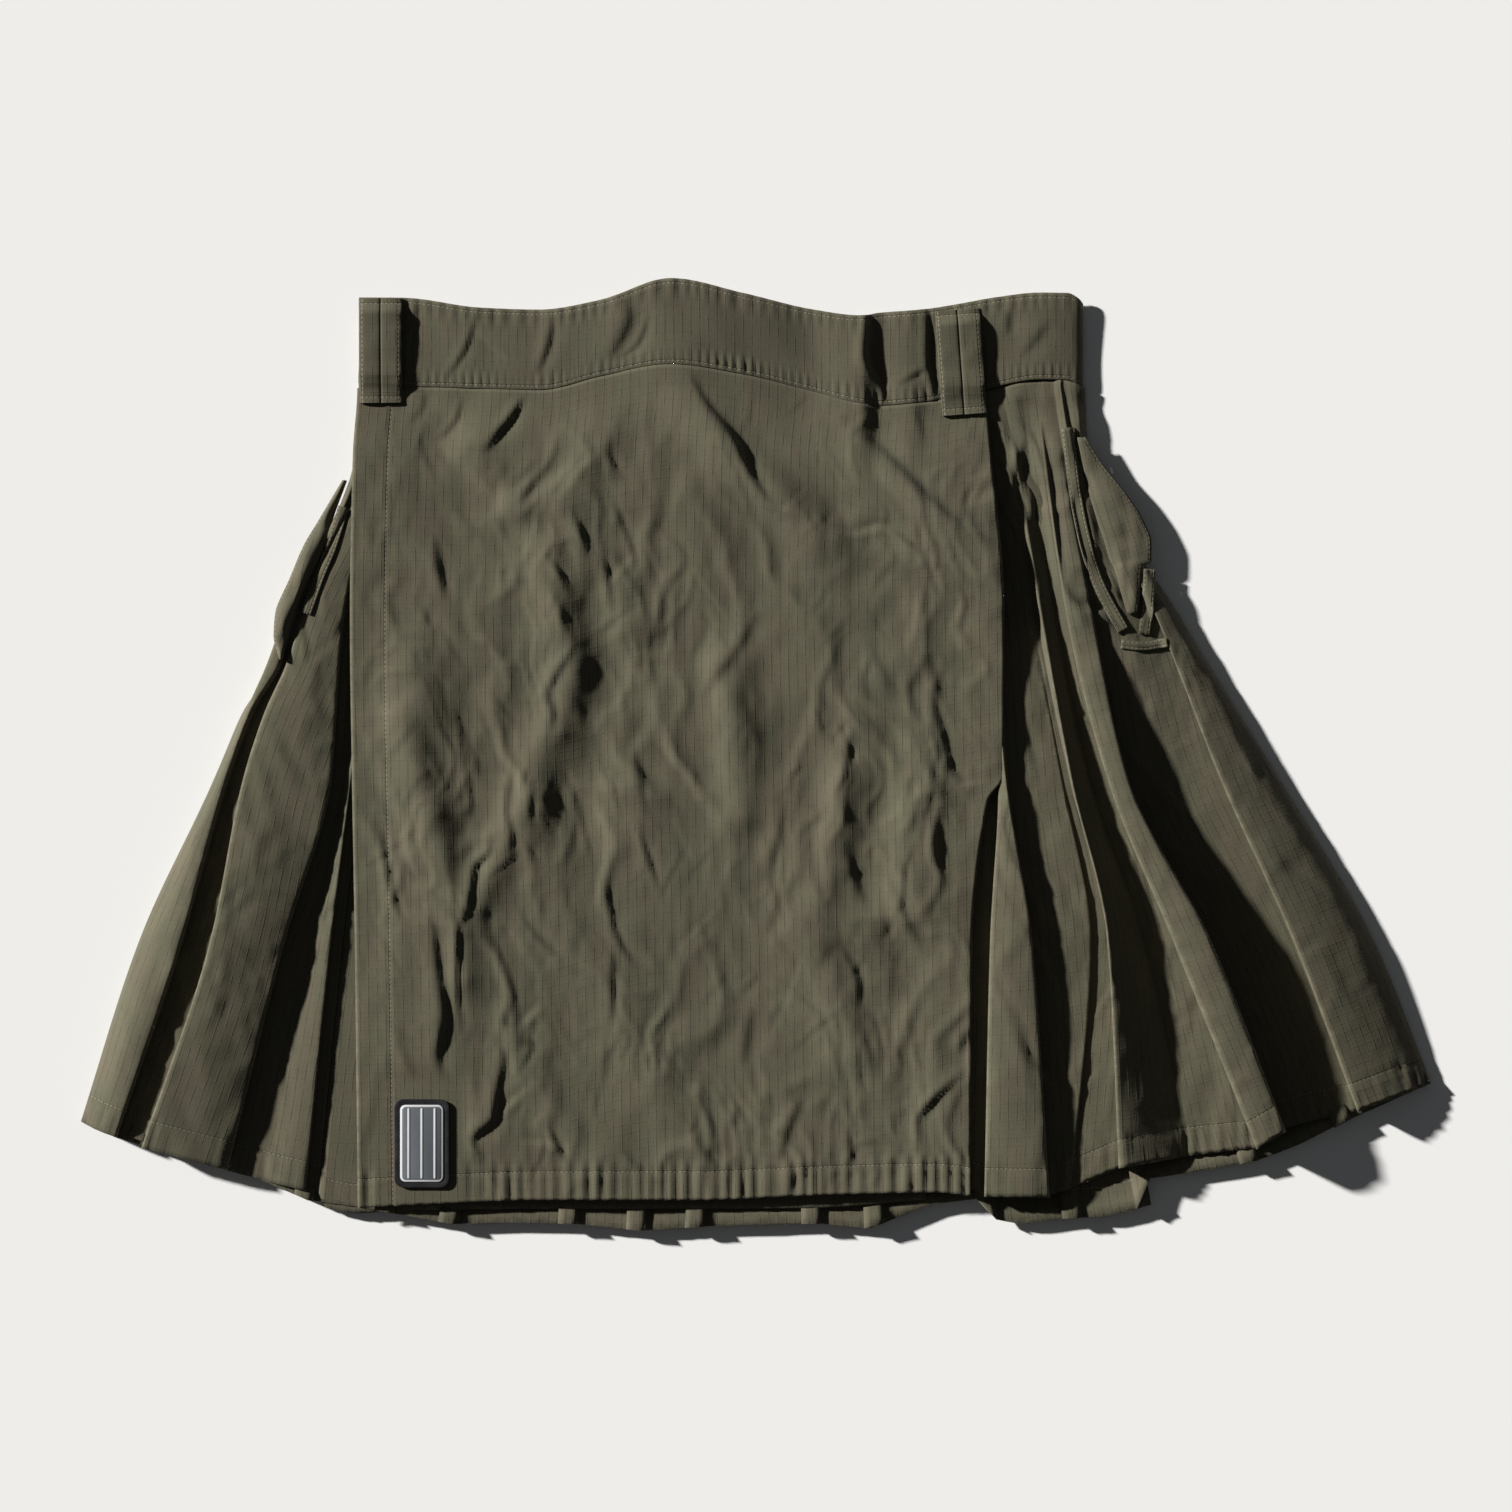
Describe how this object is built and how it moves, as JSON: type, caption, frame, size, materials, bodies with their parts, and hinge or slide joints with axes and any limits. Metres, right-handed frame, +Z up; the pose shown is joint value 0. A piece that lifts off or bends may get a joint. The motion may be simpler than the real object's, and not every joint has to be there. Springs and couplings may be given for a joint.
{
  "type": "kilt",
  "caption": "Wrap kilt laid flat: plain front apron, pleats fanned out at both sides, pleated back, waistband with belt loops, gaping side pockets, small patch.",
  "frame": {"origin": "centre of the bounding box at its underside, on the surface the kilt lies on", "axes": "+Z up from that surface, +Y from the hem towards the waistband, +X across the kilt towards the side with the wide open pocket"},
  "size_m": [0.9205, 0.6474, 0.0283],
  "materials": {
    "apron_cloth": "matt ripstop cotton, olive",
    "pleat_cloth": "matt ripstop cotton, olive",
    "back_cloth": "matt ripstop cotton, olive",
    "band_cloth": "matt ripstop cotton, olive",
    "loop_cloth": "matt ripstop cotton, olive",
    "pocket_cloth": "matt ripstop cotton, olive",
    "patch_rubber": "moulded soft rubber, satin"
  },
  "bodies": {
    "root": {"waistband_front": "band_cloth", "waistband_back": "band_cloth", "right_pleats": "pleat_cloth", "left_pleats": "pleat_cloth", "under_apron": "apron_cloth", "over_apron": "apron_cloth", "pleated_back": "back_cloth", "belt_loop_left": "loop_cloth", "belt_loop_right": "loop_cloth", "right_pocket_welt": "pocket_cloth", "right_pocket_cloth": "pocket_cloth", "right_pocket_strip": "pocket_cloth", "right_pocket_bar": "pocket_cloth", "left_pocket_welt": "pocket_cloth", "left_pocket_cloth": "pocket_cloth", "rubber_patch": "patch_rubber"}
  },
  "joints": []
}
